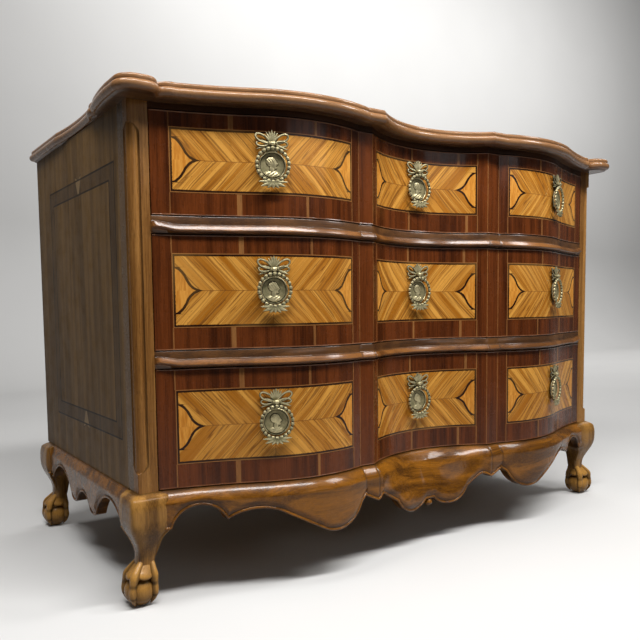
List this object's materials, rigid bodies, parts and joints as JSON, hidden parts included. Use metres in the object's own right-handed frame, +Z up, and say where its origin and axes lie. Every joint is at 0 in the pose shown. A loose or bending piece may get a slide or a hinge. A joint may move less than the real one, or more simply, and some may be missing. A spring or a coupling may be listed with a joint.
{
  "type": "commode",
  "caption": "Serpentine wooden commode with sliding drawers, swinging brass ring handles, a shaped apron, a moulded top and cabriole legs on claw-and-ball feet.",
  "frame": {"origin": "on the floor, under the middle of the top board", "axes": "+X across the front to the viewer's right, +Y from front to back, +Z up"},
  "size_m": [1.292, 0.727, 0.872],
  "materials": {
    "top_walnut": "polished",
    "case_walnut": "polished",
    "stile_walnut": "polished",
    "rail_walnut": "polished",
    "apron_walnut": "polished",
    "leg_walnut": "polished",
    "inner_pine": "plain",
    "front_rosewood": "polished",
    "box_oak": "plain",
    "brass": "old dark cast brass"
  },
  "bodies": {
    "case": {"top_board": "top_walnut", "side_panel_left": "case_walnut", "side_panel_right": "case_walnut", "rear_post_left": "case_walnut", "rear_post_right": "case_walnut", "stile_left": "stile_walnut", "stile_right": "stile_walnut", "top_rail": "rail_walnut", "upper_rail": "rail_walnut", "lower_rail": "rail_walnut", "apron_centre": "apron_walnut", "apron_left": "apron_walnut", "apron_right": "apron_walnut", "side_apron_left": "apron_walnut", "side_apron_right": "apron_walnut", "leg_front_left": "leg_walnut", "leg_front_right": "leg_walnut", "leg_rear_left": "leg_walnut", "leg_rear_right": "leg_walnut", "back_boards": "inner_pine", "base_rail": "inner_pine", "upper_runners": "inner_pine", "middle_runners": "inner_pine", "lower_runners": "inner_pine", "bottom_board": "inner_pine", "back_base_rail": "inner_pine"},
    "upper_drawer": {"upper_front": "front_rosewood", "upper_side_left": "box_oak", "upper_side_right": "box_oak", "upper_back": "box_oak", "upper_bottom": "box_oak", "upper_handle_plates": "brass", "upper_pivot_pins": "brass", "upper_handle_nuts": "brass"},
    "upper_left_ring": {"upper_ring_left": "brass"},
    "upper_centre_ring": {"upper_ring_centre": "brass"},
    "upper_right_ring": {"upper_ring_right": "brass"},
    "middle_drawer": {"middle_front": "front_rosewood", "middle_side_left": "box_oak", "middle_side_right": "box_oak", "middle_back": "box_oak", "middle_bottom": "box_oak", "middle_handle_plates": "brass", "middle_pivot_pins": "brass", "middle_handle_nuts": "brass"},
    "middle_left_ring": {"middle_ring_left": "brass"},
    "middle_centre_ring": {"middle_ring_centre": "brass"},
    "middle_right_ring": {"middle_ring_right": "brass"},
    "lower_drawer": {"lower_front": "front_rosewood", "lower_side_left": "box_oak", "lower_side_right": "box_oak", "lower_back": "box_oak", "lower_bottom": "box_oak", "lower_handle_plates": "brass", "lower_pivot_pins": "brass", "lower_handle_nuts": "brass"},
    "lower_left_ring": {"lower_ring_left": "brass"},
    "lower_centre_ring": {"lower_ring_centre": "brass"},
    "lower_right_ring": {"lower_ring_right": "brass"}
  },
  "joints": [
    {"name": "upper_drawer_slide", "type": "slide", "parent": "case", "child": "upper_drawer", "axis": [0, -1, 0], "range_m": [0, 0.4]},
    {"name": "upper_left_ring_swing", "type": "hinge", "parent": "upper_drawer", "child": "upper_left_ring", "pos_m": [-0.38872, -0.32565, 0.785], "axis": [-0.9411, 0.3382, 0], "range_deg": [0, 85]},
    {"name": "upper_centre_ring_swing", "type": "hinge", "parent": "upper_drawer", "child": "upper_centre_ring", "pos_m": [0, -0.2705, 0.785], "axis": [-1, 0, 0], "range_deg": [0, 85]},
    {"name": "upper_right_ring_swing", "type": "hinge", "parent": "upper_drawer", "child": "upper_right_ring", "pos_m": [0.38872, -0.32565, 0.785], "axis": [-0.9411, -0.3382, 0], "range_deg": [0, 85]},
    {"name": "middle_drawer_slide", "type": "slide", "parent": "case", "child": "middle_drawer", "axis": [0, -1, 0], "range_m": [0, 0.4]},
    {"name": "middle_left_ring_swing", "type": "hinge", "parent": "middle_drawer", "child": "middle_left_ring", "pos_m": [-0.38872, -0.32565, 0.572], "axis": [-0.9411, 0.3382, 0], "range_deg": [0, 85]},
    {"name": "middle_centre_ring_swing", "type": "hinge", "parent": "middle_drawer", "child": "middle_centre_ring", "pos_m": [0, -0.2705, 0.572], "axis": [-1, 0, 0], "range_deg": [0, 85]},
    {"name": "middle_right_ring_swing", "type": "hinge", "parent": "middle_drawer", "child": "middle_right_ring", "pos_m": [0.38872, -0.32565, 0.572], "axis": [-0.9411, -0.3382, 0], "range_deg": [0, 85]},
    {"name": "lower_drawer_slide", "type": "slide", "parent": "case", "child": "lower_drawer", "axis": [0, -1, 0], "range_m": [0, 0.4]},
    {"name": "lower_left_ring_swing", "type": "hinge", "parent": "lower_drawer", "child": "lower_left_ring", "pos_m": [-0.38872, -0.32565, 0.3405], "axis": [-0.9411, 0.3382, 0], "range_deg": [0, 85]},
    {"name": "lower_centre_ring_swing", "type": "hinge", "parent": "lower_drawer", "child": "lower_centre_ring", "pos_m": [0, -0.2705, 0.3405], "axis": [-1, 0, 0], "range_deg": [0, 85]},
    {"name": "lower_right_ring_swing", "type": "hinge", "parent": "lower_drawer", "child": "lower_right_ring", "pos_m": [0.38872, -0.32565, 0.3405], "axis": [-0.9411, -0.3382, 0], "range_deg": [0, 85]}
  ]
}
